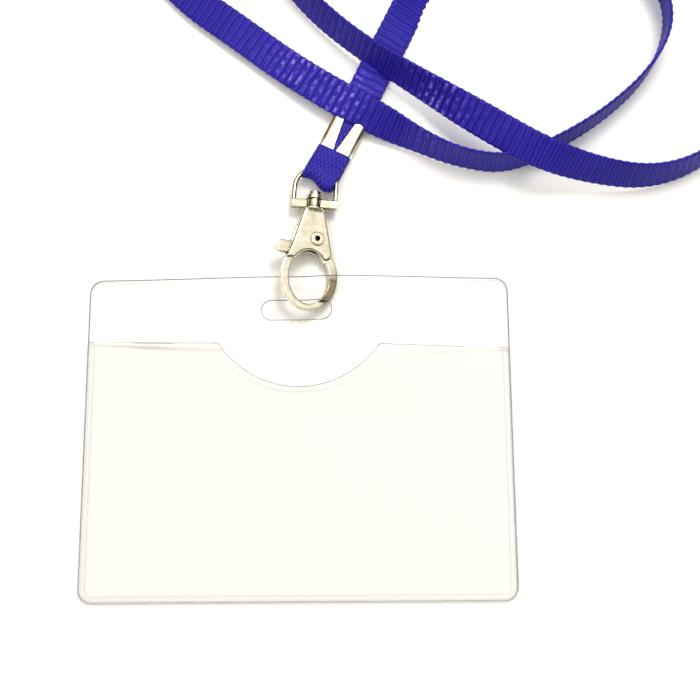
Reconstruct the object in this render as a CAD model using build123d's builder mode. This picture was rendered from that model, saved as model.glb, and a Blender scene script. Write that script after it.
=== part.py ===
from build123d import *
import math
import os

os.makedirs("parts", exist_ok=True)

# Lanyard badge holder lying on a table.  Millimetres.  The origin is the centre of the
# holder's back face, +X along its long edge, +Y towards the clasp and +Z up.

# ---- driving dimensions -------------------------------------------------------------
# clear vinyl holder
HOLDER_W = 112.0
HOLDER_H = 85.0
CORNER_R = 3.5
BACK_T = 0.35
FRONT_T = 0.30
POCKET_GAP = 0.25
WELD_W = 2.0
FRONT_DROP = 17.7
NOTCH_CHORD = 42.5
NOTCH_DEPTH = 11.4
SLOT_L = 18.5
SLOT_W = 5.2
SLOT_X = -0.5
SLOT_DROP = 9.3
LIFT_START_Y = 8.0
LIFT_KNEE_Y = 32.0
LIFT_KNEE_Z = 3.35
LIFT_TOP_Z = 3.55
LIFT_BENDS = (90.0, 40.0)

# trigger clasp, laid out in its own plane: u across, v along, w through
EYE_CENTRE = (2.6, 42.3, 3.5)
CLASP_LEAN = 4.3
CLASP_PITCH = 2.0
CLASP_ROLL = 20.0
EYE_A = 5.6
EYE_B = 7.4
EYE_DROP = 0.3
RING_A = 7.9
RING_B = 9.3
RING_T = 2.0
BODY_T = 3.6
NECK_V = 18.6
NECK_HALF_W = 3.0
BODY_LEFT = ((-6.9, 4.3), (-5.7, 8.0), (-NECK_HALF_W, NECK_V))
BODY_RIGHT = ((NECK_HALF_W, NECK_V), (5.9, 6.6), (6.4, 4.3))
BODY_EDGE = 0.4
PIVOT = (1.2, 10.4)
LOBE_R = 6.1
NOSE_R = 17.0
GATE_GAP = 0.1
NOSE_RELIEF = (2.1, -6.2)
NOSE_RELIEF_R = 1.3
GATE_SLOT = 1.7
GATE_T = 1.5
GATE_TOP_V = 8.3
GATE_WEB = ((1.2, 8.0), (3.9, 4.2), (5.9, 4.2), (3.6, 11.2))
TAB_WEB = ((1.0, 8.1), (-3.6, 6.2), (-3.6, 8.9), (-0.6, 12.2))
TAB_ROOT_U = -3.4
BODY_SLOT_V = (5.2, 14.4)
GATE_PASSAGE_V = (3.0, 8.0)
HUB_R = 2.6
RIVET_R = 1.1
RIVET_HEAD_R = 1.9
RIVET_HEAD_T = 0.45
RIVET_TAIL_R = 1.5
RIVET_TAIL_T = 0.3
RIVET_EDGE = 0.2
RIVET_HOLE_R = 0.72
SHAFT_PLAY = 0.05
TAB_TIP = (-8.4, 7.3)
TAB_R = 1.65
SPRING_U = -0.9
SPRING_R = 0.55
SPRING_WIRE = 0.2
SPRING_PITCH = 0.72
SPRING_L = 3.4
SPRING_FOOT_V = 12.7
SPRING_SEAT_V = 14.0
SPRING_SEAT_PLAY = 0.03
SPRING_SEAT_DEPTH = 2.4

# swivel and D-ring
STUD_R = 1.0
STUD_ROOT_V = 17.0
FLANGE_R = 3.1
FLANGE_T = 0.7
DRING_BAR_V = 19.5
DRING_BAR_H = 2.3
DRING_BAR_T = 1.5
DRING_HALF_W = 5.65
DRING_WIRE_R = 0.65
DRING_SHOULDER_V = 25.5
DRING_BOSS_R = 1.95
WASHER_R = 2.25
WASHER_T = 1.1
WASHER_GAP = 0.1
STUD_HEAD_R = 1.6
STUD_HEAD_T = 1.3
STUD_EDGE = 0.25

# woven strap and its crimp
STRAP_W = 9.5
STRAP_T = 0.9
STRAP_LEAN = 26.5
LOW_LAYER_Z = 1.05
TOP_LAYER_Z = 2.00
CRIMP_START = (9.7, 78.4)
CRIMP_L = 11.0
CRIMP_W = 9.8
CRIMP_WALL = 0.5
CRIMP_H = 3.0
CRIMP_MOUTH = 0.5
CRIMP_V = 4.0
CRIMP_R = 1.3
CRIMP_INNER_R = 0.15
STRAP_PROUD = 0.5
FOLD_W = 8.4
FOLD_TIP = -10.4
FOLD_SHOULDER = -4.6
FOLD_INNER_SHOULDER = -4.9
FOLD_JOIN = -0.3
FOLD_CROTCH = -0.7
WIRE_Z = 2.5
WIRE_SPACE = 0.85
CORNER_SHARE = 0.45

# ---- values worked out from them ----------------------------------------------------
TOP_Y = HOLDER_H / 2
SLOT_Y = TOP_Y - SLOT_DROP
FRONT_TOP_Y = TOP_Y - FRONT_DROP
NOTCH_R = (NOTCH_CHORD**2 / 4 + NOTCH_DEPTH**2) / (2 * NOTCH_DEPTH)
NOTCH_Y = FRONT_TOP_Y - NOTCH_DEPTH + NOTCH_R


def lying_plane(roll):
    """A plane through the eye centre, leaned, pitched and rolled as the clasp lies."""
    across = Vector(1, 0, 0).rotate(Axis.Y, roll)
    across = across.rotate(Axis.X, -CLASP_PITCH).rotate(Axis.Z, -CLASP_LEAN)
    normal = Vector(0, 0, 1).rotate(Axis.Y, roll)
    normal = normal.rotate(Axis.X, -CLASP_PITCH).rotate(Axis.Z, -CLASP_LEAN)
    return Plane(origin=EYE_CENTRE, x_dir=across, z_dir=normal)


clasp = lying_plane(CLASP_ROLL)
flat = lying_plane(0)
swivel = Plane(origin=EYE_CENTRE, x_dir=flat.x_dir, z_dir=flat.y_dir)
strap_dir = Vector(0, 1, 0).rotate(Axis.Z, -STRAP_LEAN)
strap_across = Vector(1, 0, 0).rotate(Axis.Z, -STRAP_LEAN)


# ---- clear vinyl holder --------------------------------------------------------------
def sheet_profile(low, high):
    """Side view of a sheet between two heights, flat below and lifted by the clasp."""
    run = ((-TOP_Y, 0), (LIFT_START_Y, 0), (LIFT_KNEE_Y, LIFT_KNEE_Z), (TOP_Y, LIFT_TOP_Z))
    under = [(y, z + low) for y, z in run]
    over = [(y, z + high) for y, z in run]
    FilletPolyline(*under, radius=LIFT_BENDS)
    Line(under[-1], over[-1])
    FilletPolyline(*over, radius=LIFT_BENDS)
    Line(under[0], over[0])


with BuildPart() as holder_back_sheet:
    with BuildSketch(Plane.YZ):
        with BuildLine():
            sheet_profile(0, BACK_T)
        make_face()
    extrude(amount=HOLDER_W / 2, both=True)
    with BuildSketch():
        RectangleRounded(HOLDER_W, HOLDER_H, CORNER_R)
        with Locations((SLOT_X, SLOT_Y)):
            SlotOverall(SLOT_L, SLOT_W, mode=Mode.SUBTRACT)
    extrude(amount=12, mode=Mode.INTERSECT)

with BuildPart() as holder_front_sheet:
    with BuildSketch(Plane.YZ):
        with BuildLine():
            sheet_profile(BACK_T, BACK_T + POCKET_GAP + FRONT_T)
        make_face()
    extrude(amount=HOLDER_W / 2, both=True)
    with BuildSketch(Plane.YZ):
        with BuildLine():
            sheet_profile(BACK_T - 0.1, BACK_T + POCKET_GAP)
        make_face()
        with Locations((-TOP_Y, 0)):
            Rectangle(2 * WELD_W, 4, mode=Mode.SUBTRACT)
    extrude(amount=HOLDER_W / 2 - WELD_W, both=True, mode=Mode.SUBTRACT)
    with BuildSketch():
        RectangleRounded(HOLDER_W, HOLDER_H, CORNER_R)
        with Locations((0, FRONT_TOP_Y)):
            Rectangle(HOLDER_W, FRONT_DROP + 1, align=(Align.CENTER, Align.MIN), mode=Mode.SUBTRACT)
        with Locations((0, NOTCH_Y)):
            Circle(NOTCH_R, mode=Mode.SUBTRACT)
    extrude(amount=12, mode=Mode.INTERSECT)


# ---- trigger clasp -------------------------------------------------------------------
def eye_opening():
    """The clasp's eye, a little below the ring's centre, so that the ring thins at the bottom."""
    with Locations((0, -EYE_DROP)):
        Ellipse(EYE_A, EYE_B, mode=Mode.SUBTRACT)


def gate_sector(inner, outer):
    """The ring sector that the gate fills: the right side, between two arcs on the pivot."""
    with Locations(PIVOT):
        Circle(outer)
        Circle(inner, mode=Mode.SUBTRACT)
        with Locations((0, 0)):
            Rectangle(40, 40, align=(Align.MAX, Align.CENTER), mode=Mode.SUBTRACT)
    with Locations((0, GATE_TOP_V)):
        Rectangle(60, 60, align=(Align.CENTER, Align.MIN), mode=Mode.SUBTRACT)


with BuildPart() as hook_body:
    with BuildSketch(clasp):
        Ellipse(RING_A, RING_B)
        eye_opening()
    extrude(amount=RING_T / 2, both=True)
    with BuildSketch(clasp):
        with BuildLine():
            Polyline(*BODY_LEFT, *BODY_RIGHT, close=True)
        make_face()
        eye_opening()
    extrude(amount=BODY_T / 2, both=True)
    front_rims = hook_body.edges().group_by(Axis(clasp.origin, clasp.z_dir))
    chamfer(front_rims[0] + front_rims[-1], BODY_EDGE)
    with BuildSketch(clasp):
        gate_sector(LOBE_R, NOSE_R)
    extrude(amount=BODY_T, both=True, mode=Mode.SUBTRACT)
    with BuildSketch(clasp):
        with Locations((0, BODY_SLOT_V[0])):
            Rectangle(20, BODY_SLOT_V[1] - BODY_SLOT_V[0], align=(Align.CENTER, Align.MIN))
        with Locations((0, GATE_PASSAGE_V[0])):
            Rectangle(10, GATE_PASSAGE_V[1] - GATE_PASSAGE_V[0], align=(Align.MIN, Align.MIN))
    extrude(amount=GATE_SLOT / 2, both=True, mode=Mode.SUBTRACT)
    with BuildSketch(swivel.offset(NECK_V - 0.1)):
        Circle(FLANGE_R)
    extrude(amount=FLANGE_T)
    with BuildSketch(clasp):
        with Locations(PIVOT):
            Circle(RIVET_R)
    extrude(amount=BODY_T, both=True, mode=Mode.SUBTRACT)
    with BuildSketch(swivel.offset(STUD_ROOT_V)):
        Circle(STUD_R)
    extrude(amount=4, mode=Mode.SUBTRACT)
    spring_seat = Plane(origin=clasp.from_local_coords((SPRING_U, SPRING_SEAT_V, 0)), z_dir=clasp.y_dir)
    with BuildSketch(spring_seat):
        Circle(SPRING_R + SPRING_WIRE + SPRING_SEAT_PLAY)
    extrude(amount=SPRING_SEAT_DEPTH, mode=Mode.SUBTRACT)

with BuildPart() as trigger_gate:
    with BuildSketch(clasp):
        gate_sector(LOBE_R + GATE_GAP, NOSE_R - GATE_GAP)
        Ellipse(RING_A, RING_B, mode=Mode.INTERSECT)
        eye_opening()
        with Locations(NOSE_RELIEF):
            Circle(NOSE_RELIEF_R, mode=Mode.SUBTRACT)
    extrude(amount=RING_T / 2, both=True)
    with BuildSketch(clasp):
        with Locations(PIVOT):
            Circle(HUB_R)
        with BuildLine():
            Polyline(*GATE_WEB, close=True)
        make_face()
        with BuildLine():
            Polyline(*TAB_WEB, close=True)
        make_face()
        with Locations(((TAB_TIP[0] + TAB_ROOT_U) / 2, TAB_TIP[1])):
            SlotCenterToCenter(TAB_ROOT_U - TAB_TIP[0], 2 * TAB_R)
    extrude(amount=GATE_T / 2, both=True)
    with BuildSketch(clasp):
        with Locations(PIVOT):
            Circle(RIVET_R + SHAFT_PLAY)
    extrude(amount=GATE_T, both=True, mode=Mode.SUBTRACT)

with BuildPart() as pivot_rivet:
    with BuildSketch(clasp):
        with Locations(PIVOT):
            Circle(RIVET_R)
    extrude(amount=BODY_T / 2, both=True)
    with BuildSketch(clasp.offset(BODY_T / 2)):
        with Locations(PIVOT):
            Circle(RIVET_HEAD_R)
    extrude(amount=RIVET_HEAD_T)
    with BuildSketch(clasp.offset(-BODY_T / 2 - RIVET_TAIL_T)):
        with Locations(PIVOT):
            Circle(RIVET_TAIL_R)
    extrude(amount=RIVET_TAIL_T)
    crown = pivot_rivet.edges().filter_by(GeomType.CIRCLE).sort_by(Axis(clasp.origin, clasp.z_dir))[-1]
    chamfer(crown, RIVET_EDGE)
    with BuildSketch(clasp.offset(0.3)):
        with Locations(PIVOT):
            Circle(RIVET_HOLE_R)
    extrude(amount=BODY_T, mode=Mode.SUBTRACT)

with BuildPart() as gate_spring:
    with BuildLine():
        spring_foot = clasp.from_local_coords((SPRING_U, SPRING_FOOT_V, 0))
        coil = Helix(SPRING_PITCH, SPRING_L, SPRING_R, center=spring_foot, direction=clasp.y_dir)
    with BuildSketch(Plane(origin=coil @ 0, z_dir=coil % 0)):
        Circle(SPRING_WIRE)
    sweep(path=coil.edges(), is_frenet=True)

washer_v = DRING_BAR_V + DRING_BAR_H + WASHER_GAP
with BuildPart() as swivel_stud:
    with BuildSketch(swivel.offset(STUD_ROOT_V)):
        Circle(STUD_R)
    extrude(amount=washer_v + WASHER_T - STUD_ROOT_V)
    with BuildSketch(swivel.offset(washer_v + WASHER_T)):
        Circle(STUD_HEAD_R)
    extrude(amount=STUD_HEAD_T)
    stud_circles = swivel_stud.edges().filter_by(GeomType.CIRCLE)
    chamfer(stud_circles.sort_by(Axis(swivel.origin, swivel.z_dir))[-1], STUD_EDGE)

with BuildPart() as swivel_washer:
    with BuildSketch(swivel.offset(washer_v)):
        Circle(WASHER_R)
        Circle(STUD_R, mode=Mode.SUBTRACT)
    extrude(amount=WASHER_T)

with BuildPart() as d_ring:
    with BuildLine(flat):
        left_leg = Line((-DRING_HALF_W, DRING_BAR_V + 1.0), (-DRING_HALF_W, DRING_SHOULDER_V))
        bow = ThreePointArc(
            left_leg @ 1, (0, DRING_SHOULDER_V + DRING_HALF_W), (DRING_HALF_W, DRING_SHOULDER_V)
        )
        Line(bow @ 1, (DRING_HALF_W, DRING_BAR_V + 1.0))
    with BuildSketch(Plane(origin=left_leg @ 0, z_dir=left_leg % 0)):
        Circle(DRING_WIRE_R)
    sweep()
    with BuildSketch(flat):
        with Locations((0, DRING_BAR_V)):
            Rectangle(2 * (DRING_HALF_W + DRING_WIRE_R), DRING_BAR_H, align=(Align.CENTER, Align.MIN))
    extrude(amount=DRING_BAR_T / 2, both=True)
    with BuildSketch(swivel.offset(DRING_BAR_V)):
        Circle(DRING_BOSS_R)
    extrude(amount=DRING_BAR_H)
    with BuildSketch(swivel.offset(DRING_BAR_V - 1)):
        Circle(STUD_R + SHAFT_PLAY)
    extrude(amount=DRING_BAR_H + 2, mode=Mode.SUBTRACT)


# ---- strap crimp, fold and neck loop --------------------------------------------------
crimp_mid_z = (LOW_LAYER_Z + TOP_LAYER_Z) / 2
crimp_face = Plane(
    origin=(CRIMP_START[0], CRIMP_START[1], crimp_mid_z), x_dir=strap_across, z_dir=strap_dir
)
crimp_plan = Plane(origin=(CRIMP_START[0], CRIMP_START[1], crimp_mid_z), x_dir=strap_across, z_dir=(0, 0, 1))
strap_side = Plane(origin=(CRIMP_START[0], CRIMP_START[1], 0), x_dir=strap_dir, z_dir=strap_across)

with BuildPart() as strap_crimp:
    with BuildSketch(crimp_face):
        RectangleRounded(CRIMP_W, CRIMP_H, CRIMP_R)
        inner_w = CRIMP_W - 2 * CRIMP_WALL
        inner_h = CRIMP_H - 2 * CRIMP_WALL
        RectangleRounded(inner_w, inner_h, CRIMP_INNER_R, mode=Mode.SUBTRACT)
    extrude(amount=CRIMP_L)
    with BuildSketch(crimp_plan):
        with BuildLine():
            lower_edge = ((-CRIMP_MOUTH / 2, -1), (CRIMP_MOUTH / 2, -1))
            upper_edge = ((CRIMP_V / 2, CRIMP_L + 1), (-CRIMP_V / 2, CRIMP_L + 1))
            Polyline(*lower_edge, *upper_edge, close=True)
        make_face()
    extrude(amount=CRIMP_H, mode=Mode.SUBTRACT)

fold_end = CRIMP_L + STRAP_PROUD
low_z = LOW_LAYER_Z - STRAP_T / 2
top_z = TOP_LAYER_Z + STRAP_T / 2
fold_outer_r = WIRE_SPACE + STRAP_T
fold_centre = FOLD_TIP + fold_outer_r
under_z = WIRE_Z - fold_outer_r
over_z = WIRE_Z + fold_outer_r
inner_low_z = WIRE_Z - WIRE_SPACE
inner_high_z = WIRE_Z + WIRE_SPACE
with BuildPart() as strap_fold:
    with BuildSketch(strap_side):
        with BuildLine():
            Line((fold_end, low_z), (fold_centre, under_z))
            ThreePointArc((fold_centre, under_z), (FOLD_TIP, WIRE_Z), (fold_centre, over_z))
            Polyline((fold_centre, over_z), (FOLD_SHOULDER, over_z), (FOLD_JOIN, top_z), (fold_end, top_z))
            Line((fold_end, top_z), (fold_end, low_z))
        make_face()
        with BuildLine():
            Line((FOLD_CROTCH, inner_low_z), (fold_centre, inner_low_z))
            inner_tip = (FOLD_TIP + STRAP_T, WIRE_Z)
            ThreePointArc((fold_centre, inner_low_z), inner_tip, (fold_centre, inner_high_z))
            inner_shoulder = (FOLD_INNER_SHOULDER, inner_high_z)
            Polyline((fold_centre, inner_high_z), inner_shoulder, (FOLD_CROTCH, inner_low_z))
        make_face(mode=Mode.SUBTRACT)
    extrude(amount=FOLD_W / 2, both=True)

# The neck loop's route: out of the crimp, up and round the inner loop, down across the
# front, round the right-hand bulb, back under itself and over the crimp, round the outer
# loop and back down into the crimp.
strap_exit = Vector(CRIMP_START[0], CRIMP_START[1]) + strap_dir * fold_end
NECK_ROUTE = [
    (strap_exit.X, strap_exit.Y, TOP_LAYER_Z),
    (20.4, 101.0, 1.85),
    (27.2, 114.3, 1.75),
    (33.6, 128.5, 2.4),
    (35.5, 143.0, 4.6),
    (28.0, 156.5, 4.9),
    (13.5, 161.5, 4.9),
    (-0.5, 156.0, 4.9),
    (-6.5, 143.5, 4.9),
    (-4.5, 130.5, 4.9),
    (4.5, 119.5, 4.8),
    (17.3, 107.6, 5.8),
    (34.8, 95.5, 6.2),
    (51.0, 83.2, 9.6),
    (64.0, 73.9, 12.0),
    (79.0, 70.6, 7.0),
    (95.0, 68.9, 5.0),
    (109.0, 73.5, 4.9),
    (119.0, 83.0, 4.9),
    (123.0, 98.0, 4.9),
    (122.4, 115.0, 4.9),
    (123.2, 132.0, 4.9),
    (122.4, 149.0, 4.9),
    (118.5, 166.5, 4.9),
    (109.5, 179.5, 4.9),
    (94.5, 183.0, 4.9),
    (82.5, 174.5, 4.9),
    (79.5, 160.5, 4.9),
    (86.0, 147.5, 4.9),
    (96.0, 136.0, 4.9),
    (103.2, 123.0, 4.9),
    (102.6, 110.5, 4.9),
    (95.0, 97.8, 4.9),
    (83.0, 87.0, 4.9),
    (69.8, 78.9, 4.9),
    (57.0, 73.2, 4.6),
    (43.5, 75.2, 4.9),
    (32.0, 80.8, 4.7),
    (21.5, 86.8, 4.6),
    (8.5, 94.6, 4.4),
    (-4.5, 104.0, 2.9),
    (-17.0, 113.9, 2.9),
    (-30.5, 124.0, 2.9),
    (-41.5, 135.5, 4.4),
    (-47.0, 150.5, 4.9),
    (-43.5, 167.0, 4.9),
    (-31.0, 179.5, 4.9),
    (-13.5, 185.5, 4.9),
    (6.0, 186.4, 4.9),
    (24.5, 181.0, 4.9),
    (38.0, 169.0, 4.9),
    (43.5, 153.0, 4.6),
    (41.5, 138.5, 2.4),
    (34.2, 127.0, 0.8),
    (27.2, 114.3, 0.75),
    (20.4, 101.0, 0.85),
    (strap_exit.X, strap_exit.Y, LOW_LAYER_Z),
]


def corner_radii(points):
    """One radius for each corner, as large as its share of the shorter run beside it allows."""
    radii = []
    for before, here, after in zip(points, points[1:], points[2:]):
        arriving = Vector(*here) - Vector(*before)
        leaving = Vector(*after) - Vector(*here)
        half_turn = math.radians(arriving.get_angle(leaving)) / 2
        radii.append(CORNER_SHARE * min(arriving.length, leaving.length) / math.tan(half_turn))
    return radii


route_radii = corner_radii(NECK_ROUTE)
with BuildPart() as neck_strap:
    with BuildLine() as neck_path:
        FilletPolyline(*NECK_ROUTE, radius=route_radii)
    start_dir = neck_path.line % 0
    with BuildSketch(Plane(origin=NECK_ROUTE[0], x_dir=Vector(0, 0, 1).cross(start_dir), z_dir=start_dir)):
        Rectangle(STRAP_W, STRAP_T)
    sweep()

neck_length = sum(edge.length for edge in neck_path.line.edges())
print("neck strap radii", [round(r, 1) for r in route_radii])
print("neck strap length", round(neck_length, 1))
print("volume over section times length", neck_strap.part.volume / (STRAP_W * STRAP_T * neck_length))

# ---- write each piece ------------------------------------------------------------------
PIECES = {
    "holder_back_sheet": holder_back_sheet,
    "holder_front_sheet": holder_front_sheet,
    "hook_body": hook_body,
    "trigger_gate": trigger_gate,
    "pivot_rivet": pivot_rivet,
    "gate_spring": gate_spring,
    "swivel_stud": swivel_stud,
    "swivel_washer": swivel_washer,
    "d_ring": d_ring,
    "strap_crimp": strap_crimp,
    "strap_fold": strap_fold,
    "neck_strap": neck_strap,
}
for name, piece in PIECES.items():
    piece.part.label = name
    export_step(piece.part, f"parts/{name}.step")
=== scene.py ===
import math
import bmesh
import bpy
from mathutils import Matrix, Vector
from mathutils.geometry import delaunay_2d_cdt


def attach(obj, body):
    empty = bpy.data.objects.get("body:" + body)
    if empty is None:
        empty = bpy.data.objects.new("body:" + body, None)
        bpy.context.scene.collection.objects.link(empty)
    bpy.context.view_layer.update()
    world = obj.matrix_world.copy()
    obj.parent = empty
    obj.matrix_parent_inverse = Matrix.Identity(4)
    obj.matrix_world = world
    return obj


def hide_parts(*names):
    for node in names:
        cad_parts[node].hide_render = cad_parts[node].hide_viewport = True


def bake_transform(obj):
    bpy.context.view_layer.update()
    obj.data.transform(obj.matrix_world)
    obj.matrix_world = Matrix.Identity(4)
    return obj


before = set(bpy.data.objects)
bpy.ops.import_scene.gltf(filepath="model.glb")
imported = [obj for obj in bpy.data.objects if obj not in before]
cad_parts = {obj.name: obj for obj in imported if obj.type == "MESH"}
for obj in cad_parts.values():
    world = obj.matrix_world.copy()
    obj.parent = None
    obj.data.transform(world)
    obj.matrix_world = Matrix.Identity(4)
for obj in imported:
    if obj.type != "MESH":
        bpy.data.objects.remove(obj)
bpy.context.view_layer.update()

MM = 0.001

# ---- sizes, in millimetres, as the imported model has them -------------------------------
HOLDER_W = 112.0
HOLDER_H = 85.0
CORNER_R = 3.5
BACK_T = 0.35
FRONT_T = 0.30
FRONT_TOP_Y = 24.4
FRONT_SKEW = -0.0195
NOTCH_CHORD = 42.5
NOTCH_DEPTH = 11.4
SLOT_X = -0.5
SLOT_Y = 33.2
SLOT_L = 18.5
SLOT_W = 5.2
STRAP_W = 9.5
STRAP_T = 0.9
STRAP_LEAN = 26.5
STRAP_PROUD = 0.5
CRIMP_START = (9.7, 78.4)
CRIMP_L = 11.0

# the strap runs up out of the crimp along strap_dir
lean = math.radians(STRAP_LEAN)
strap_dir = Vector((math.sin(lean), math.cos(lean), 0))
strap_across = Vector((math.cos(lean), -math.sin(lean), 0))
crimp_start = Vector((CRIMP_START[0], CRIMP_START[1], 0))


# ---- small tools -------------------------------------------------------------------------
def linear(hex_colour):
    """An sRGB hex colour as linear RGBA."""
    channels = [int(hex_colour[i:i + 2], 16) / 255 for i in (1, 3, 5)]
    return [c / 12.92 if c <= 0.04045 else ((c + 0.055) / 1.055) ** 2.4 for c in channels] + [1.0]


# kinds of node, and their settings, that the materials use often
MATH = "ShaderNodeMath"
NOISE = "ShaderNodeTexNoise"
RANGE = "ShaderNodeMapRange"
RAMP = "ShaderNodeValToRGB"
MIX = "ShaderNodeMix"
PRINCIPLED = "ShaderNodeBsdfPrincipled"
COLOURS = {"data_type": "RGBA"}
PLUS = {"operation": "ADD"}
MINUS = {"operation": "SUBTRACT"}
TIMES = {"operation": "MULTIPLY"}
OVER = {"operation": "DIVIDE"}
SINE = {"operation": "SINE"}
COSINE = {"operation": "COSINE"}
WITHOUT_SIGN = {"operation": "ABSOLUTE"}


def add(tree, kind, settings=None, **inputs):
    """A node with its settings, and its inputs set to a value or linked to a node or socket.

    An input's name is its socket's, with _ for a space, or i and a number for its place. A node
    stands for its first output. The setting "stops" is a ramp's places and hex colours."""
    node = tree.nodes.new(kind)
    settings = dict(settings or {})
    stops = settings.pop("stops", ())
    for name, value in settings.items():
        setattr(node, name, value)
    if stops:
        elements = node.color_ramp.elements
        while len(elements) < len(stops):
            elements.new(0.5)
        for element, (place, colour) in zip(elements, stops):
            element.position = place
            element.color = linear(colour)
    for name, value in inputs.items():
        place = int(name[1:]) if name[0] == "i" and name[1:].isdigit() else name.replace("_", " ")
        if isinstance(value, bpy.types.Node):
            value = value.outputs[0]
        if isinstance(value, bpy.types.NodeSocket):
            tree.links.new(value, node.inputs[place])
        else:
            node.inputs[place].default_value = value
    return node


def cells(size):
    """A noise's scale, in cells to the metre, from the size of one cell in millimetres."""
    return 1 / (size * MM)


def empty_material(name):
    material = bpy.data.materials.new(name)
    material.use_nodes = True
    tree = material.node_tree
    tree.nodes.clear()
    return material, tree


def finished(obj):
    """The object's modifiers applied, as a plain mesh at the origin."""
    depsgraph = bpy.context.evaluated_depsgraph_get()
    mesh = bpy.data.meshes.new_from_object(obj.evaluated_get(depsgraph))
    plain = bpy.data.objects.new(obj.name, mesh)
    name = obj.name
    bpy.data.objects.remove(obj)
    plain.name = name
    bpy.context.collection.objects.link(plain)
    return plain


def smooth_step(low, high, value):
    share = min(1.0, max(0.0, (value - low) / (high - low)))
    return share * share * (3 - 2 * share)


def shade_smooth(obj):
    obj.data.polygons.foreach_set("use_smooth", [True] * len(obj.data.polygons))
    obj.data.update()


def mesh_object(name, verts, faces, materials=()):
    mesh = bpy.data.meshes.new(name)
    mesh.from_pydata([Vector(v) * MM for v in verts], [], faces)
    mesh.validate()
    obj = bpy.data.objects.new(name, mesh)
    bpy.context.collection.objects.link(obj)
    for material in materials:
        mesh.materials.append(material)
    return obj


def outward(obj):
    """Every face turned to point outwards."""
    work = bmesh.new()
    work.from_mesh(obj.data)
    bmesh.ops.recalc_face_normals(work, faces=work.faces)
    work.to_mesh(obj.data)
    work.free()


# ---- camera --------------------------------------------------------------------------------
CAMERA_TILT = math.radians(12.9)
CAMERA_ROLL = math.radians(0.4)
CAMERA_AIM = Vector((13.6, 23.0, 0.0)) * MM
CAMERA_REACH = 318.7 * MM
CAMERA_LENS = 61.7

ahead = Vector((0, math.sin(CAMERA_TILT), -math.cos(CAMERA_TILT)))
upright = Vector((0, math.cos(CAMERA_TILT), math.sin(CAMERA_TILT)))
sideways = Vector((1, 0, 0))
right = math.cos(CAMERA_ROLL) * sideways - math.sin(CAMERA_ROLL) * upright
up = math.sin(CAMERA_ROLL) * sideways + math.cos(CAMERA_ROLL) * upright

camera = bpy.data.objects.new("camera", bpy.data.cameras.new("camera"))
camera.data.lens = CAMERA_LENS
camera.data.sensor_width = 36.0
camera.data.clip_start = 0.01
turn = Matrix((right, up, -ahead)).transposed().to_4x4()
camera.matrix_world = Matrix.Translation(CAMERA_AIM - ahead * CAMERA_REACH) @ turn
bpy.context.collection.objects.link(camera)
bpy.context.scene.camera = camera


# ---- materials -----------------------------------------------------------------------------
# webbing: weft ribs, warp yarns, and the two places where painted highlights are put on the rib crests
RIB_PITCH = 2.2
YARN_PITCH = 0.6
WEFT_WANDER = 0.45
RIB_SHARPNESS = 3.4
HIGHLIGHT_PAINTED_ALL_OVER = 0.22
HIGHLIGHT_PAINTED_AT = ((6.0, 97.0, 4.0), (40.0, 95.0, 12.0))
# the yarn's tones; the palest stops are reached only where the painted highlights add to the tone
YARN_AND_PAINTED_LIGHT_TONES = [(0.0, "#10087A"), (0.25, "#22169A"), (0.5, "#3427AE"), (0.75, "#6152C6"), (1.0, "#A093E6")]
VINYL_IOR = 1.53


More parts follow.
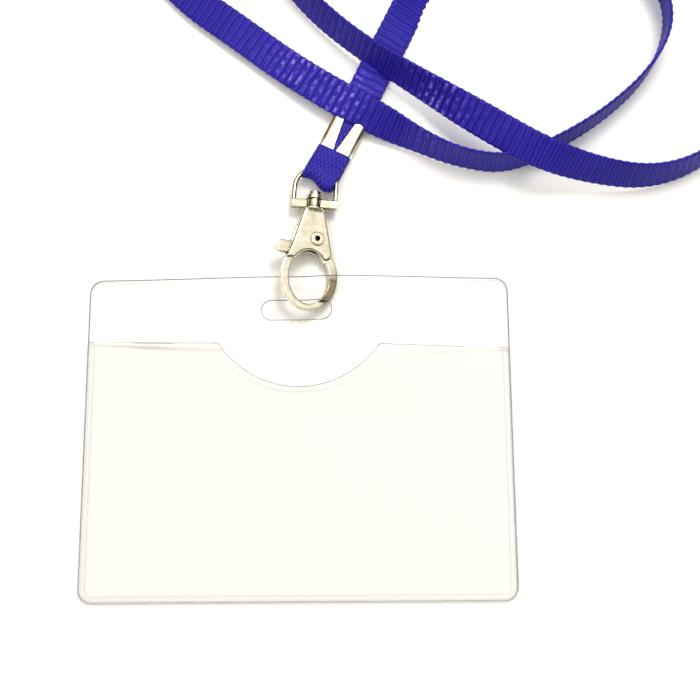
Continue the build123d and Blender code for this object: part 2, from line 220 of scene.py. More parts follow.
def woven_polyester(name, rib_share, floats_per_rib, crown_share, relief_shade_share):
    """Dyed polyester lanyard webbing, woven with a weft rib every 2.2 mm.

    Each rib is a row of warp floats with a silky gloss. The dips between them take painted shade,
    and the rib crests take painted highlights in broken dashes, strongest near two listed places.
    Where the strap is pressed flat the ribs are fainter, and the warp's wavy dashes show."""
    material, tree = empty_material(name)
    along = add(tree, "ShaderNodeAttribute", {"attribute_name": "along"}).outputs["Fac"]
    across = add(tree, "ShaderNodeAttribute", {"attribute_name": "across"}).outputs["Fac"]
    where = add(tree, "ShaderNodeTexCoord").outputs["Object"]

    # the place along the strap, counted in ribs; the weft wanders by about a tenth of a rib
    wander = add(tree, NOISE, Vector=where, Scale=cells(3.846), Detail=1.0)
    wander = add(tree, MATH, MINUS, i0=wander, i1=0.5)
    wander = add(tree, MATH, TIMES, i0=wander, i1=WEFT_WANDER)
    turn = add(tree, MATH, OVER, i0=along, i1=RIB_PITCH)
    turn = add(tree, MATH, PLUS, i0=turn, i1=wander)

    # warp floats, set back by half a rib on every other yarn, each with a rounded crown
    yarn = add(tree, MATH, OVER, i0=across, i1=YARN_PITCH)
    row = add(tree, MATH, {"operation": "FLOOR"}, i0=yarn)
    row = add(tree, MATH, {"operation": "MODULO"}, i0=row, i1=2.0)
    row = add(tree, MATH, TIMES, i0=row, i1=0.5)
    floats = add(tree, MATH, PLUS, i0=turn, i1=row)
    floats = add(tree, MATH, TIMES, i0=floats, i1=floats_per_rib * math.pi)
    floats = add(tree, MATH, SINE, i0=floats)
    floats = add(tree, MATH, WITHOUT_SIGN, i0=floats)
    crown = add(tree, MATH, TIMES, i0=yarn, i1=math.pi)
    crown = add(tree, MATH, SINE, i0=crown)
    crown = add(tree, MATH, WITHOUT_SIGN, i0=crown)
    crown = add(tree, MATH, TIMES, i0=crown, i1=crown_share)
    crown = add(tree, MATH, PLUS, i0=crown, i1=1 - crown_share)
    relief = add(tree, MATH, TIMES, i0=floats, i1=crown)

    # the crest of each rib, narrower than the dip beside it
    rib = add(tree, MATH, TIMES, i0=turn, i1=2 * math.pi)
    rib = add(tree, MATH, COSINE, i0=rib)
    rib = add(tree, MATH, TIMES, i0=rib, i1=0.5)
    rib = add(tree, MATH, PLUS, i0=rib, i1=0.5)
    rib = add(tree, MATH, {"operation": "POWER"}, i0=rib, i1=RIB_SHARPNESS)

    # painted highlight: near the two listed places, and faintly in noise patches all over, the rib crests
    # are painted lighter in broken dashes, standing for light caught on them
    reaches = [
        add(tree, "ShaderNodeVectorMath", {"operation": "DISTANCE"}, i0=where, i1=Vector(place) * MM)
        for place in HIGHLIGHT_PAINTED_AT
    ]
    nearest = [reach.outputs["Value"] for reach in reaches]
    highlight_near = add(tree, MATH, {"operation": "MINIMUM"}, i0=nearest[0], i1=nearest[1])
    highlight_near = add(tree, RANGE, Value=highlight_near, From_Min=0.01, From_Max=0.024, To_Min=1.0, To_Max=0.0)
    patches = add(tree, NOISE, Vector=where, Scale=cells(16.67), Detail=1.0)
    patches = add(tree, RANGE, Value=patches, From_Min=0.35, From_Max=0.65, To_Min=0.4)
    painted_highlight = add(tree, MATH, PLUS, i0=highlight_near, i1=HIGHLIGHT_PAINTED_ALL_OVER)
    painted_highlight = add(tree, MATH, TIMES, i0=painted_highlight, i1=patches)
    dashes = add(tree, NOISE, Vector=where, Scale=cells(1.613), Detail=1.0)
    dashes = add(tree, RANGE, Value=dashes, From_Min=0.34, From_Max=0.62)
    painted_shine = add(tree, MATH, TIMES, i0=painted_highlight, i1=dashes)
    painted_shine = add(tree, MATH, TIMES, i0=rib, i1=painted_shine)
    painted_shine = add(tree, MATH, TIMES, i0=painted_shine, i1=rib_share)

    # the dye took a little unevenly
    dye = add(tree, NOISE, Vector=where, Scale=cells(11.11), Detail=2.0)
    dye = add(tree, MATH, MINUS, i0=dye, i1=0.5)
    dye = add(tree, MATH, TIMES, i0=dye, i1=0.3)
    # painted shade: the weave's relief also darkens the colour in the dips between the warp floats and
    # lightens their crowns
    tone = add(tree, MATH, TIMES, i0=relief, i1=relief_shade_share)
    tone = add(tree, MATH, PLUS, i0=tone, i1=painted_shine)
    tone = add(tree, MATH, PLUS, i0=tone, i1=dye)
    colour = add(tree, RAMP, {"stops": YARN_AND_PAINTED_LIGHT_TONES}, Fac=tone)

    height = add(tree, MATH, TIMES, i0=rib, i1=rib_share)
    height = add(tree, MATH, PLUS, i0=relief, i1=height)
    bump = add(tree, "ShaderNodeBump", Strength=0.7, Distance=0.16 * MM, Height=height)
    shader = add(
        tree, PRINCIPLED, Base_Color=colour, Roughness=0.5, Normal=bump, Sheen_Weight=0.06,
        Sheen_Roughness=0.35, Sheen_Tint=linear("#7A6CFF"), Specular_IOR_Level=0.22,
    )
    add(tree, "ShaderNodeOutputMaterial", Surface=shader)
    return material


def nickel_plate(name, tones):
    """Bright nickel over tumbled zinc: warm, mirror-like, with soft waves and fine handling marks.

    The tones run from its patches of wear to its polish, and its hollows and the flanks near other faces
    are painted darker as shade."""
    material, tree = empty_material(name)
    where = add(tree, "ShaderNodeTexCoord").outputs["Object"]
    waves = add(tree, NOISE, Vector=where, Scale=cells(2.381), Detail=3.0)
    marks = add(tree, NOISE, Vector=where, Scale=cells(0.3846), Detail=2.0)
    colour = add(tree, RAMP, {"stops": list(zip((0.3, 0.55, 0.8), tones))}, Fac=waves)
    # painted shade: flanks within 6 mm of another face are painted duller, and hollows within 1.6 mm
    # darkest, from an occlusion mask
    for reach, low, high, shade in ((6.0, 0.4, 0.9, "#8E8265"), (1.6, 0.15, 0.75, "#3C352B")):
        unoccluded_share = add(tree, "ShaderNodeAmbientOcclusion", {"samples": 8}, Distance=reach * MM)
        unoccluded_share = add(tree, RANGE, Value=unoccluded_share.outputs["AO"], From_Min=low, From_Max=high)
        colour = add(tree, MIX, COLOURS, i0=unoccluded_share, i6=linear(shade), i7=colour).outputs[2]
    gloss = add(tree, RANGE, Value=marks, To_Min=0.1, To_Max=0.24)
    height = add(tree, MATH, TIMES, i0=marks, i1=0.15)
    height = add(tree, MATH, PLUS, i0=waves, i1=height)
    bump = add(tree, "ShaderNodeBump", Strength=0.35, Distance=0.12 * MM, Height=height)
    shader = add(tree, PRINCIPLED, Base_Color=colour, Metallic=1.0, Roughness=gloss, Normal=bump)
    add(tree, "ShaderNodeOutputMaterial", Surface=shader)
    return material


def pressed_nickel():
    """Nickel-plated steel strip pressed into the crimp: satin beige, with a painted highlight along its
    lower lip.
    """
    material, tree = empty_material("pressed_nickel")
    where = add(tree, "ShaderNodeTexCoord").outputs["Object"]
    reach = add(tree, "ShaderNodeVectorMath", {"operation": "DOT_PRODUCT"}, i0=where, i1=strap_dir)
    lip = strap_dir.dot(crimp_start)
    # painted highlight: the lower lip is painted near-white, standing for light caught on its rim
    lip_highlight_share = add(
        tree, RANGE, Value=reach.outputs["Value"], From_Min=(lip + 0.8) * MM,
        From_Max=(lip + 2.2) * MM, To_Min=1.0, To_Max=0.0,
    )
    grain = add(tree, NOISE, Vector=where, Scale=cells(2.0), Detail=3.0)
    satin = add(tree, RAMP, {"stops": [(0.3, "#A89C80"), (0.7, "#CFC5A8")]}, Fac=grain)
    colour = add(tree, MIX, COLOURS, i0=lip_highlight_share, i6=satin, i7=linear("#FBF8EC")).outputs[2]
    gloss = add(tree, RANGE, Value=grain, To_Min=0.2, To_Max=0.34)
    bump = add(tree, "ShaderNodeBump", Strength=0.3, Distance=0.1 * MM, Height=grain)
    shader = add(tree, PRINCIPLED, Base_Color=colour, Metallic=1.0, Roughness=gloss, Normal=bump)
    add(tree, "ShaderNodeOutputMaterial", Surface=shader)
    return material


def spring_wire():
    """Drawn carbon steel spring wire: grey, with a fine drawn grain."""
    material, tree = empty_material("spring_wire")
    where = add(tree, "ShaderNodeTexCoord").outputs["Object"]
    grain = add(tree, NOISE, Vector=where, Scale=cells(0.3333))
    colour = add(tree, RAMP, {"stops": [(0.3, "#6E6C68"), (0.7, "#9C9A94")]}, Fac=grain)
    shader = add(tree, PRINCIPLED, Base_Color=colour, Metallic=1.0, Roughness=0.35)
    add(tree, "ShaderNodeOutputMaterial", Surface=shader)
    return material


def clear_vinyl(name, cover, tint):
    """Clear plasticised vinyl sheet: a faint milky film, with a painted reflection at a low angle."""
    material, tree = empty_material(name)
    where = add(tree, "ShaderNodeTexCoord").outputs["Object"]
    haze = add(tree, NOISE, Vector=where, Scale=cells(16.67), Detail=3.0)
    skin = add(tree, NOISE, Vector=where, Scale=cells(1.111), Detail=2.0)
    seam = add(tree, "ShaderNodeAttribute", {"attribute_name": "seam"}).outputs["Fac"]
    film = add(tree, RANGE, Value=haze, To_Min=cover * 0.8, To_Max=cover * 1.2)
    # painted reflection: the Fresnel term makes the white film more opaque at a low angle
    glance_reflection = add(tree, "ShaderNodeFresnel", IOR=VINYL_IOR)
    glance_reflection = add(tree, MATH, TIMES, i0=glance_reflection, i1=0.08)
    weld = add(tree, MATH, TIMES, i0=seam, i1=0.25)
    alpha = add(tree, MATH, PLUS, i0=film, i1=glance_reflection)
    alpha = add(tree, MATH, PLUS, i0=alpha, i1=weld)
    colour = add(tree, MIX, COLOURS, i0=seam, i6=linear(tint), i7=linear("#C9C3CF")).outputs[2]
    bump = add(tree, "ShaderNodeBump", Strength=0.2, Distance=0.2 * MM, Height=skin)
    shader = add(
        tree, PRINCIPLED, Base_Color=colour, Roughness=0.12, IOR=VINYL_IOR, Alpha=alpha, Normal=bump,
    )
    add(tree, "ShaderNodeOutputMaterial", Surface=shader)
    return material


def vinyl_cut_edge(name, dark, pale):
    """The die-cut edge of the vinyl, painted dark grey-violet as shade, standing for the dark line that
    bending light draws along a cut edge.
    """
    material, tree = empty_material(name)
    where = add(tree, "ShaderNodeTexCoord").outputs["Object"]
    nicks = add(tree, NOISE, Vector=where, Scale=cells(3.333), Detail=2.0)
    colour = add(tree, RAMP, {"stops": [(0.3, dark), (0.7, pale)]}, Fac=nicks)
    cover = add(tree, RANGE, Value=nicks, To_Min=0.6, To_Max=0.9)
    shader = add(tree, PRINCIPLED, Base_Color=colour, Roughness=0.25, IOR=VINYL_IOR, Alpha=cover)
    add(tree, "ShaderNodeOutputMaterial", Surface=shader)
    return material


def white_table():
    """Matt white laminate, very slightly warm."""
    material, tree = empty_material("white_table")
    where = add(tree, "ShaderNodeTexCoord").outputs["Object"]
    cloud = add(tree, NOISE, Vector=where, Scale=cells(166.7))
    colour = add(tree, RAMP, {"stops": [(0.3, "#FBFBFA"), (0.7, "#FEFEFD")]}, Fac=cloud)
    shader = add(tree, PRINCIPLED, Base_Color=colour, Roughness=0.6)
    add(tree, "ShaderNodeOutputMaterial", Surface=shader)
    return material


WEBBING = woven_polyester(
    "woven_polyester", rib_share=0.75, floats_per_rib=2, crown_share=0.4, relief_shade_share=0.5,
)
WEBBING_PRESSED = woven_polyester(
    "woven_polyester_pressed", rib_share=0.1, floats_per_rib=1, crown_share=0.85, relief_shade_share=0.62,
)
NICKEL = nickel_plate("nickel_plate", ("#DDD4BB", "#EEE8D5", "#F8F5E9"))
# a darker, beiger copy of the nickel, given to the D-ring
NICKEL_DARKER = nickel_plate("nickel_plate_darker", ("#B4A98C", "#CFC6AC", "#E4DDC8"))
PRESSED = pressed_nickel()
SPRING = spring_wire()
VINYL_BACK = clear_vinyl("clear_vinyl_back", 0.006, "#FFFEF8")
VINYL_FRONT = clear_vinyl("clear_vinyl_front", 0.003, "#FFFFFF")
VINYL_EDGE_BACK = vinyl_cut_edge("vinyl_cut_edge_back", "#46414F", "#7C7588")
VINYL_EDGE_FRONT = vinyl_cut_edge("vinyl_cut_edge_front", "#948D9E", "#BEB8C6")
TABLE = white_table()

# ---- neck strap -------------------------------------------------------------------------------
# the strap's thickness between its ribs, where it is free and where it is pressed
GROUND_T = STRAP_T - 0.14
PRESSED_GROUND_T = STRAP_T - 0.06
# the section's rounded selvedges, as a share of the thickness, and how finely it is drawn
SELVEDGE_ROUND = 0.46
SELVEDGE_POINTS = 3
OUTLINE_POINTS = 36

# Each point of the route with the strap's roll there, in degrees: 0 lies flat, 90 stands on
# its edge, and a positive roll lifts the side on the left of the way the route runs.
strap_exit = crimp_start + strap_dir * (CRIMP_L + STRAP_PROUD)

NECK_ROUTE = [
    ((strap_exit.x, strap_exit.y, 2.0), 0),
    ((20.4, 101.0, 1.85), 4),
    ((27.2, 114.3, 1.75), 14),
    ((33.6, 128.5, 2.4), 40),
    ((35.5, 143.0, 4.6), 68),
    ((28.0, 156.5, 4.9), 74),
    ((13.5, 161.5, 4.9), 76),
    ((-0.5, 156.0, 4.9), 76),
    ((-6.5, 143.5, 4.9), 76),
    ((-4.5, 130.5, 4.9), 74),
    ((4.5, 119.5, 4.8), 66),
    ((17.3, 107.6, 5.8), 70),
    ((34.8, 95.5, 6.2), 57),
    ((51.0, 83.2, 9.6), 30),
    ((64.0, 73.9, 12.0), 42),
    ((79.0, 70.6, 7.0), 60),
    ((95.0, 68.9, 5.0), 70),
    ((109.0, 73.5, 4.9), 79),
    ((119.0, 83.0, 4.9), 78),
    ((123.0, 98.0, 4.9), 80),
    ((122.4, 115.0, 4.9), 80),
    ((123.2, 132.0, 4.9), 80),
    ((122.4, 149.0, 4.9), 80),
    ((118.5, 166.5, 4.9), 80),
    ((109.5, 179.5, 4.9), 80),
    ((94.5, 183.0, 4.9), 80),
    ((82.5, 174.5, 4.9), 82),
    ((79.5, 160.5, 4.9), 86),
    ((86.0, 147.5, 4.9), 92),
    ((96.0, 136.0, 4.9), 96),
    ((103.2, 123.0, 4.9), 95),
    ((102.6, 110.5, 4.9), 85),
    ((95.0, 97.8, 4.9), 91),
    ((83.0, 87.0, 4.9), 93),
    ((69.8, 78.9, 4.9), 94),
    ((57.0, 73.2, 4.6), 100),
    ((43.5, 75.2, 4.9), 101),
    ((32.0, 80.8, 4.7), 112),
    ((21.5, 86.8, 4.6), 146),
    ((8.5, 94.6, 4.4), 166),
    ((-4.5, 104.0, 2.9), 166),
    ((-17.0, 113.9, 2.9), 166),
    ((-30.5, 124.0, 2.9), 160),
    ((-41.5, 135.5, 4.4), 130),
    ((-47.0, 150.5, 4.9), 108),
    ((-43.5, 167.0, 4.9), 104),
    ((-31.0, 179.5, 4.9), 104),
    ((-13.5, 185.5, 4.9), 104),
    ((6.0, 186.4, 4.9), 104),
    ((24.5, 181.0, 4.9), 104),
    ((38.0, 169.0, 4.9), 106),
    ((43.5, 153.0, 4.6), 112),
    ((41.5, 138.5, 2.4), 135),
    ((34.2, 127.0, 0.8), 150),
    ((27.2, 114.3, 0.75), 166),
    ((20.4, 101.0, 0.85), 176),
    ((strap_exit.x, strap_exit.y, 1.05), 180),
]


def route_curve(name, route):
    """A smooth NURBS spline with the route's points as its control points."""
    curve = bpy.data.curves.new(name, "CURVE")
    curve.dimensions = "3D"
    curve.twist_mode = "Z_UP"
    curve.resolution_u = 16
    spline = curve.splines.new("NURBS")
    spline.points.add(len(route) - 1)
    for point, (place, roll) in zip(spline.points, route):
        point.co = (*(Vector(place) * MM), 1.0)
        point.tilt = math.radians(roll)
    spline.order_u = 3
    spline.use_endpoint_u = True
    obj = bpy.data.objects.new(name, curve)
    bpy.context.collection.objects.link(obj)
    return obj


def spline_points(curve_object):
    """The points along a curve with no bevel, in order, in metres."""
    depsgraph = bpy.context.evaluated_depsgraph_get()
    line = bpy.data.meshes.new_from_object(curve_object.evaluated_get(depsgraph))
    points = [v.co.copy() for v in line.vertices]
    bpy.data.meshes.remove(line)
    return points


def webbing_tree():
    """Geometry nodes that make a curve into webbing with raised ribs and a scalloped selvedge."""
    tree = bpy.data.node_groups.new("webbing", "GeometryNodeTree")
    tree.interface.new_socket("Geometry", in_out="INPUT", socket_type="NodeSocketGeometry")
    for name in ("Width", "Thickness", "Rib Pitch", "Rib Height", "Step"):
        tree.interface.new_socket(name, in_out="INPUT", socket_type="NodeSocketFloat")
    tree.interface.new_socket("Webbing", in_out="INPUT", socket_type="NodeSocketMaterial")
    tree.interface.new_socket("Geometry", in_out="OUTPUT", socket_type="NodeSocketGeometry")
    given = add(tree, "NodeGroupInput").outputs
    point_value = {"data_type": "FLOAT", "domain": "POINT"}

    # the spine, which carries the distance along the strap in millimetres
    spine = add(
        tree, "GeometryNodeResampleCurve", {"mode": "LENGTH"}, Curve=given["Geometry"],
        Length=given["Step"],
    )
    reach = add(tree, "GeometryNodeSplineParameter").outputs["Length"]
    spine = add(
        tree, "GeometryNodeStoreNamedAttribute", point_value, Geometry=spine, Name="along",
        Value=add(tree, MATH, TIMES, i0=reach, i1=1 / MM),
    )

    # the section, which carries the distance across the strap in millimetres
    outline = add(
        tree, "GeometryNodeCurvePrimitiveQuadrilateral", {"mode": "RECTANGLE"}, Width=given["Width"],
        Height=given["Thickness"],
    )
    corner = add(tree, MATH, TIMES, i0=given["Thickness"], i1=SELVEDGE_ROUND)
    outline = add(
        tree, "GeometryNodeFilletCurve", {"mode": "POLY"}, Curve=outline, Radius=corner,
        Limit_Radius=True, Count=SELVEDGE_POINTS,
    )
    outline = add(
        tree, "GeometryNodeResampleCurve", {"mode": "COUNT"}, Curve=outline, Count=OUTLINE_POINTS,
    )
    side = add(tree, "ShaderNodeSeparateXYZ", Vector=add(tree, "GeometryNodeInputPosition"))
    outline = add(
        tree, "GeometryNodeStoreNamedAttribute", point_value, Geometry=outline, Name="across",
        Value=add(tree, MATH, TIMES, i0=side, i1=1 / MM),
    )
    band = add(tree, "GeometryNodeCurveToMesh", Curve=spine, Profile_Curve=outline, Fill_Caps=True)

    # the ribs, as a wave out of the band's faces
    along = add(tree, "GeometryNodeInputNamedAttribute", {"data_type": "FLOAT"}, Name="along")
    pitch = add(tree, MATH, TIMES, i0=given["Rib Pitch"], i1=1 / MM)
    wave = add(tree, MATH, OVER, i0=along, i1=pitch)
    wave = add(tree, MATH, TIMES, i0=wave, i1=2 * math.pi)
    wave = add(tree, MATH, COSINE, i0=wave)
    lift = add(tree, MATH, TIMES, i0=wave, i1=given["Rib Height"])
    outwards = add(tree, "GeometryNodeInputNormal")
    offset = add(tree, "ShaderNodeVectorMath", {"operation": "SCALE"}, i0=outwards, Scale=lift)
    ribbed = add(tree, "GeometryNodeSetPosition", Geometry=band, Offset=offset)
    smooth = add(tree, "GeometryNodeSetShadeSmooth", i0=ribbed)
    real = add(tree, "GeometryNodeRealizeInstances", i0=smooth)
    painted = add(tree, "GeometryNodeSetMaterial", Geometry=real, Material=given["Webbing"])
    add(tree, "NodeGroupOutput", i0=painted)
    return tree


WEBBING_TREE = webbing_tree()


def woven_band(curve_object, width, thickness, webbing=WEBBING, rib_height=0.1, step=0.5):
    """A curve made into webbing, as a plain mesh. Sizes in millimetres."""
    modifier = curve_object.modifiers.new("webbing", "NODES")
    modifier.node_group = WEBBING_TREE
    sizes = {
        "Width": width * MM, "Thickness": thickness * MM, "Rib Pitch": RIB_PITCH * MM,
        "Rib Height": rib_height * MM, "Step": step * MM, "Webbing": webbing,
    }
    for item in WEBBING_TREE.interface.items_tree:
        if item.in_out == "INPUT" and item.name in sizes:
            modifier[item.identifier] = sizes[item.name]
    return finished(curve_object)


neck_curve = route_curve("neck_loop", NECK_ROUTE)
neck_line = spline_points(neck_curve)
neck_loop = woven_band(neck_curve, STRAP_W, GROUND_T)
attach(neck_loop, "lanyard")
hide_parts("neck_strap")

# ---- strap end folded round the D-ring -------------------------------------------------------
# The strap's own plane, seen from the side: distance before the crimp, and height.
FOLD_SIDE = [
    (11.4, 1.05), (0.0, 1.05), (-4.0, 1.1), (-7.2, 1.15), (-10.1, 1.5), (-10.8, 2.7),
    (-9.5, 4.15), (-6.6, 3.9), (-3.5, 3.0), (0.0, 2.3), (3.0, 2.0), (11.4, 2.0),
]
# the fold's ends bow with the ring, from the first distance on and fully at the second
FOLD_BOW = 0.8
FOLD_BOW_FROM = -4.0
FOLD_BOW_FULL = -9.0


def strap_point(reach, height, side=0.0):
    """A point a distance along the strap from the crimp's lower end."""
    place = crimp_start + strap_dir * reach + strap_across * side
    return (place.x, place.y, height)


fold_curve = route_curve("strap_end", [(strap_point(*place), 0) for place in FOLD_SIDE])
fold_curve.data.twist_mode = "MINIMUM"
strap_end = woven_band(fold_curve, STRAP_W, PRESSED_GROUND_T, WEBBING_PRESSED, rib_height=0.03, step=0.3)
for vertex in strap_end.data.vertices:
    place = vertex.co / MM - crimp_start
    reach, side = place.dot(strap_dir), place.dot(strap_across)
    bow = FOLD_BOW * math.sin(2 * math.pi * (side / STRAP_W + 0.5))
    vertex.co += strap_dir * bow * smooth_step(FOLD_BOW_FROM, FOLD_BOW_FULL, reach) * MM
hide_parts("strap_fold")
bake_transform(strap_end)

# ---- clear vinyl holder ------------------------------------------------------------------------
# Height of the back sheet's underside across the top edge, where the clasp holds it up: it
# passes under the ring's left bar, over the foot of the eye and over the closed gate.
TOP_EDGE_HEIGHTS = [
    (-56, 0.0), (-44, 0.45), (-32, 1.3), (-20, 2.4), (-9, 3.1), (-3, 3.15), (0.4, 2.85),
    (5.2, 3.8), (8, 4.15), (12, 4.15), (20, 3.6), (31, 2.4), (43, 0.9), (56, 0.0),
]
LIFT_FROM_Y = 4.0
LIFT_FULL_Y = 33.0
# the pocket: how far the front sheet stands off, and how its top edge gapes in the middle
POCKET_GAP = 0.25
POCKET_RISE = 6.0
SHEET_CLEARANCE = 0.01
GAPE = 0.25
GAPE_FROM_Y = 12.0
GAPE_FULL_Y = 25.0
GAPE_HALF_W = 58.0
# the weld line, and the sliver beside each cut edge that takes the edge's painted shade
WELD_IN = 1.7
WELD_MARK_W = 0.2
WELD_GROOVE = 0.05
TRIM = 0.2
RIM_ROUND = 0.2
SHARP_FROM = math.radians(40)
# how finely the sheets are drawn
GRID = 2.0
MERGE_WITHIN = 1e-4
CORNER_STEPS = 8
SLOT_END_STEPS = 14
NOTCH_STEPS = 40
NOTCH_R = (NOTCH_CHORD**2 / 4 + NOTCH_DEPTH**2) / (2 * NOTCH_DEPTH)
NOTCH_X = 0.3
NOTCH_Y = FRONT_TOP_Y - NOTCH_DEPTH + NOTCH_R


def top_edge_height(x):
    for (x0, z0), (x1, z1) in zip(TOP_EDGE_HEIGHTS, TOP_EDGE_HEIGHTS[1:]):
        if x <= x1:
            return z0 + (z1 - z0) * (x - x0) / (x1 - x0)
    return 0.0


def soft_top_edge(x):
    """The top edge's height, with the joints between its runs smoothed out."""
    half_w = HOLDER_W / 2
    near = [min(half_w, max(-half_w, x + shift)) for shift in (-1.5, -0.5, 0.5, 1.5)]
    return sum(top_edge_height(place) for place in near) / len(near)


def lie_of_back(x, y):
    return soft_top_edge(x) * smooth_step(LIFT_FROM_Y, LIFT_FULL_Y, y)


def edge_distance(x, y):
    """How far inside the holder's rounded outline a point is."""
    over_x = abs(x) - (HOLDER_W / 2 - CORNER_R)
    over_y = abs(y) - (HOLDER_H / 2 - CORNER_R)
    if over_x > 0 and over_y > 0:
        return CORNER_R - math.hypot(over_x, over_y)
    return CORNER_R - max(over_x, over_y)


def slot_distance(x, y):
    """How far outside the hanging slot a point is."""
    half = (SLOT_L - SLOT_W) / 2
    near_x = min(half, max(-half, x - SLOT_X))
    return math.hypot(x - SLOT_X - near_x, y - SLOT_Y) - SLOT_W / 2


def front_top(x):
    return FRONT_TOP_Y + FRONT_SKEW * x


def in_back(x, y):
    return edge_distance(x, y) > 0 and slot_distance(x, y) > 0


def in_front(x, y):
    clear_of_notch = math.hypot(x - NOTCH_X, y - NOTCH_Y) > NOTCH_R
    return edge_distance(x, y) > 0 and y < front_top(x) and clear_of_notch


def arc(centre, radius, start, end, steps):
    angles = [math.radians(start + (end - start) * k / steps) for k in range(steps + 1)]
    return [(centre[0] + radius * math.cos(a), centre[1] + radius * math.sin(a)) for a in angles]


def stretch(start, end, gap=2.0):
    """Points from start up to but not including end."""
    count = max(1, round(math.dist(start, end) / gap))
    return [tuple(a + (b - a) * k / count for a, b in zip(start, end)) for k in range(count)]


def evened(corners):
    """A closed loop with points added along its long runs."""
    return [p for a, b in zip(corners, corners[1:] + corners[:1]) for p in stretch(a, b)]


def rounded_loop(inset):
    half_w = HOLDER_W / 2 - CORNER_R
    half_h = HOLDER_H / 2 - CORNER_R
    corners = []
    for sign_x, sign_y, start in ((1, 1, 0), (-1, 1, 90), (-1, -1, 180), (1, -1, 270)):
        centre = (sign_x * half_w, sign_y * half_h)
        corners += arc(centre, CORNER_R - inset, start, start + 90, CORNER_STEPS)
    return evened(corners)


def slot_loop(outset):
    half = (SLOT_L - SLOT_W) / 2
    radius = SLOT_W / 2 + outset
    right_end = arc((SLOT_X + half, SLOT_Y), radius, -90, 90, SLOT_END_STEPS)
    left_end = arc((SLOT_X - half, SLOT_Y), radius, 90, 270, SLOT_END_STEPS)
    return evened(right_end + left_end)


def front_loop(inset):
    """The front sheet's outline: three sides of the holder, and a top edge with the thumb notch."""
    half_w = HOLDER_W / 2 - CORNER_R
    half_h = HOLDER_H / 2 - CORNER_R
    side = HOLDER_W / 2 - inset
    span = math.degrees(math.asin(NOTCH_CHORD / 2 / NOTCH_R))
    corners = arc((-half_w, -half_h), CORNER_R - inset, 180, 270, CORNER_STEPS)
    corners += arc((half_w, -half_h), CORNER_R - inset, 270, 360, CORNER_STEPS)
    corners += [(side, front_top(side) - inset)]
    notch = arc((NOTCH_X, NOTCH_Y), NOTCH_R + inset, 270 + span, 270 - span, NOTCH_STEPS)
    corners += [(x, min(y, front_top(x) - inset)) for x, y in notch]
    corners += [(-side, front_top(-side) - inset)]
    return evened(corners)


def weld_mark(x, y):
    """1 on the weld line, and 0 a fifth of a millimetre from it."""
    if y > front_top(x):
        return 0.0
    return max(0.0, 1 - abs(edge_distance(x, y) - WELD_IN) / WELD_MARK_W)


def vinyl_sheet(name, loops, inside, lie, thickness, films):
    """A sheet of vinyl cut to the loops and laid at the heights that lie gives.

    Its cut edge and the sliver beside it take the second film, and seam marks the weld line."""
    points, links = [], []
    for loop in loops:
        first = len(points)
        points += loop
        links += [(first + k, first + (k + 1) % len(loop)) for k in range(len(loop))]
    columns = [GRID * (k + 0.5) - HOLDER_W / 2 for k in range(int(HOLDER_W / GRID))]
    rows = [GRID * (k + 0.5) - HOLDER_H / 2 for k in range(int(HOLDER_H / GRID))]
    points += [(x, y) for x in columns for y in rows if inside(x, y)]
    flat, _, faces, *_ = delaunay_2d_cdt([Vector(p) for p in points], links, [], 0, MERGE_WITHIN)
    kept = []
    for face in faces:
        middle = sum((flat[k] for k in face), Vector((0, 0))) / len(face)
        if inside(*middle):
            kept.append(face)
    sides = {}
    for face in kept:
        for a, b in zip(face, face[1:] + face[:1]):
            sides[frozenset((a, b))] = sides.get(frozenset((a, b)), 0) + 1
    rim = {k for side, count in sides.items() if count == 1 for k in side}
    used = sorted({k for face in kept for k in face})
    number = {k: place for place, k in enumerate(used)}
    low, high = [], []
    for k in used:
        x, y = flat[k]
        round_off = thickness * RIM_ROUND if k in rim else 0.0
        groove = WELD_GROOVE * weld_mark(x, y)
        low.append((x, y, lie(x, y) + round_off))
        high.append((x, y, lie(x, y) + thickness - round_off - groove))
    count = len(used)
    shell = [[number[k] for k in reversed(face)] for face in kept]
    shell += [[number[k] + count for k in face] for face in kept]
    trims = [any(k in rim for k in face) for face in kept] * 2
    for face in kept:
        for a, b in zip(face, face[1:] + face[:1]):
            if sides[frozenset((a, b))] == 1:
                shell.append([number[a], number[b], number[b] + count, number[a] + count])
                trims.append(True)
    obj = mesh_object(name, low + high, shell, films)
    obj.data.polygons.foreach_set("material_index", [int(t) for t in trims])
    seam = obj.data.attributes.new("seam", "FLOAT", "POINT")
    seam.data.foreach_set("value", [weld_mark(*flat[k]) for k in used] * 2)
    shade_smooth(obj)
    obj.data.set_sharp_from_angle(angle=SHARP_FROM)
    outward(obj)
    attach(obj, "holder")
    return obj


weld_loops = [rounded_loop(WELD_IN + shift) for shift in (-WELD_MARK_W, 0.0, WELD_MARK_W)]
back_loops = [rounded_loop(0), rounded_loop(TRIM), slot_loop(0), slot_loop(TRIM)] + weld_loops
back_sheet = vinyl_sheet(
    "back_sheet", back_loops, in_back, lie_of_back, BACK_T, (VINYL_BACK, VINYL_EDGE_BACK),
)
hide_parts("holder_back_sheet")


def lie_of_front(x, y):
    """The front sheet is welded down at its sides and bottom, and stands off in the pocket."""
    away = smooth_step(WELD_IN, WELD_IN + POCKET_RISE, edge_distance(x, y))
    gape = GAPE * smooth_step(GAPE_FROM_Y, GAPE_FULL_Y, y) * (1 - (x / GAPE_HALF_W) ** 2)
    return lie_of_back(x, y) + BACK_T + SHEET_CLEARANCE + (POCKET_GAP + max(0, gape)) * away


front_loops = [front_loop(0), front_loop(TRIM)]
front_sheet = vinyl_sheet(
    "front_sheet", front_loops, in_front, lie_of_front, FRONT_T, (VINYL_FRONT, VINYL_EDGE_FRONT),
)
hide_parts("holder_front_sheet")

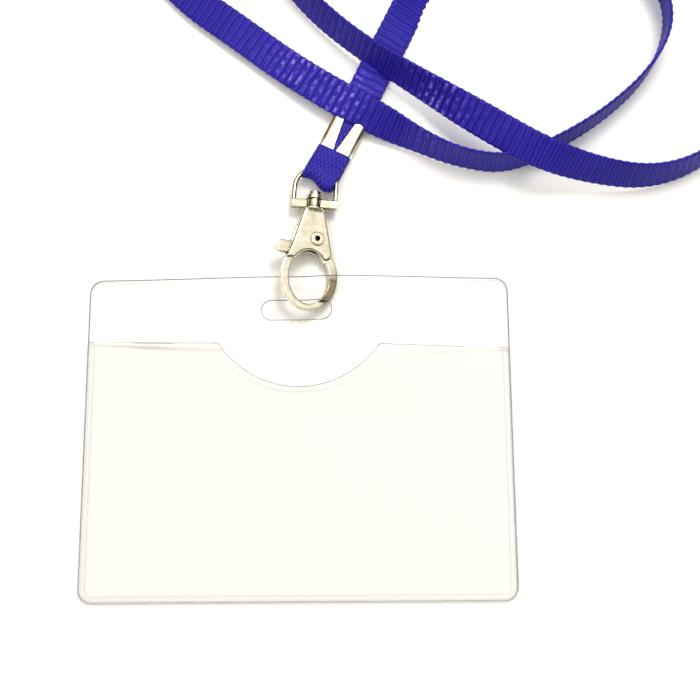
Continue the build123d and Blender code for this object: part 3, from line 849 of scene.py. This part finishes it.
# ---- metal parts ---------------------------------------------------------------------------------
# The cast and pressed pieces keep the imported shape; tumbling has rounded every edge.
# For each piece: the grain it is remade at, in millimetres, and how often its edges are relaxed.
TUMBLED = {
    "hook_body": (0.12, 30), "trigger_gate": (0.11, 16), "d_ring": (0.1, 6), "strap_crimp": (0.09, 4),
    "pivot_rivet": (0.07, 5), "swivel_stud": (0.06, 2), "swivel_washer": (0.06, 3),
}
OTHER_FINISHES = {"strap_crimp": PRESSED, "d_ring": NICKEL_DARKER}
for node, (grain, passes) in TUMBLED.items():
    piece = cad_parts[node]
    piece.data.materials.clear()
    piece.data.materials.append(OTHER_FINISHES.get(node, NICKEL))
    remade = piece.modifiers.new("even_grain", "REMESH")
    remade.mode = "VOXEL"
    remade.voxel_size = grain * MM
    remade.use_smooth_shade = True
    relaxed = piece.modifiers.new("tumbled_edges", "SMOOTH")
    relaxed.factor = 0.5
    relaxed.iterations = passes
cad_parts["gate_spring"].data.materials.clear()
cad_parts["gate_spring"].data.materials.append(SPRING)

# ---- table and lights ----------------------------------------------------------------------------
TABLE_Z = -0.35
TABLE_HALF = 6000
LIGHT_AIM = Vector((10.0, 50.0, 0.0)) * MM
TENT_STRENGTH = 1.24
TENT_BANDS = [(0.0, "#3A352E"), (0.45, "#4E4838"), (0.6, "#A59C88"), (0.74, "#F6F3EA"), (1.0, "#FFFFFB")]

table_corners = [(x * TABLE_HALF, y * TABLE_HALF, TABLE_Z) for x, y in ((-1, -1), (1, -1), (1, 1), (-1, 1))]
table = mesh_object("table", table_corners, [(0, 1, 2, 3)], [TABLE])


def soft_light(name, place, size, power, colour):
    """A square area light aimed at the clasp. Its place and size are in metres."""
    lamp = bpy.data.lights.new(name, "AREA")
    lamp.size = size
    lamp.energy = power
    lamp.color = linear(colour)[:3]
    obj = bpy.data.objects.new(name, lamp)
    obj.location = place
    obj.rotation_euler = (Vector(place) - LIGHT_AIM).to_track_quat("Z", "Y").to_euler()
    bpy.context.collection.objects.link(obj)


soft_light("key_light", place=(0.25, 0.55, 0.9), size=0.35, power=5.5, colour="#FFFCF5")
soft_light("fill_light", place=(-0.6, -0.2, 0.7), size=0.7, power=1.5, colour="#FFFDF6")


def light_tent():
    """A white tent over the table: brightest overhead, with a darker opening lower down."""
    world = bpy.data.worlds.new("light_tent")
    world.use_nodes = True
    tree = world.node_tree
    tree.nodes.clear()
    way = add(tree, "ShaderNodeTexCoord").outputs["Generated"]
    height = add(tree, "ShaderNodeSeparateXYZ", Vector=way).outputs[2]
    colour = add(tree, RAMP, {"stops": TENT_BANDS}, Fac=height)
    shader = add(tree, "ShaderNodeBackground", Color=colour, Strength=TENT_STRENGTH)
    add(tree, "ShaderNodeOutputWorld", Surface=shader)
    bpy.context.scene.world = world


light_tent()
bpy.context.scene.view_settings.view_transform = "Standard"
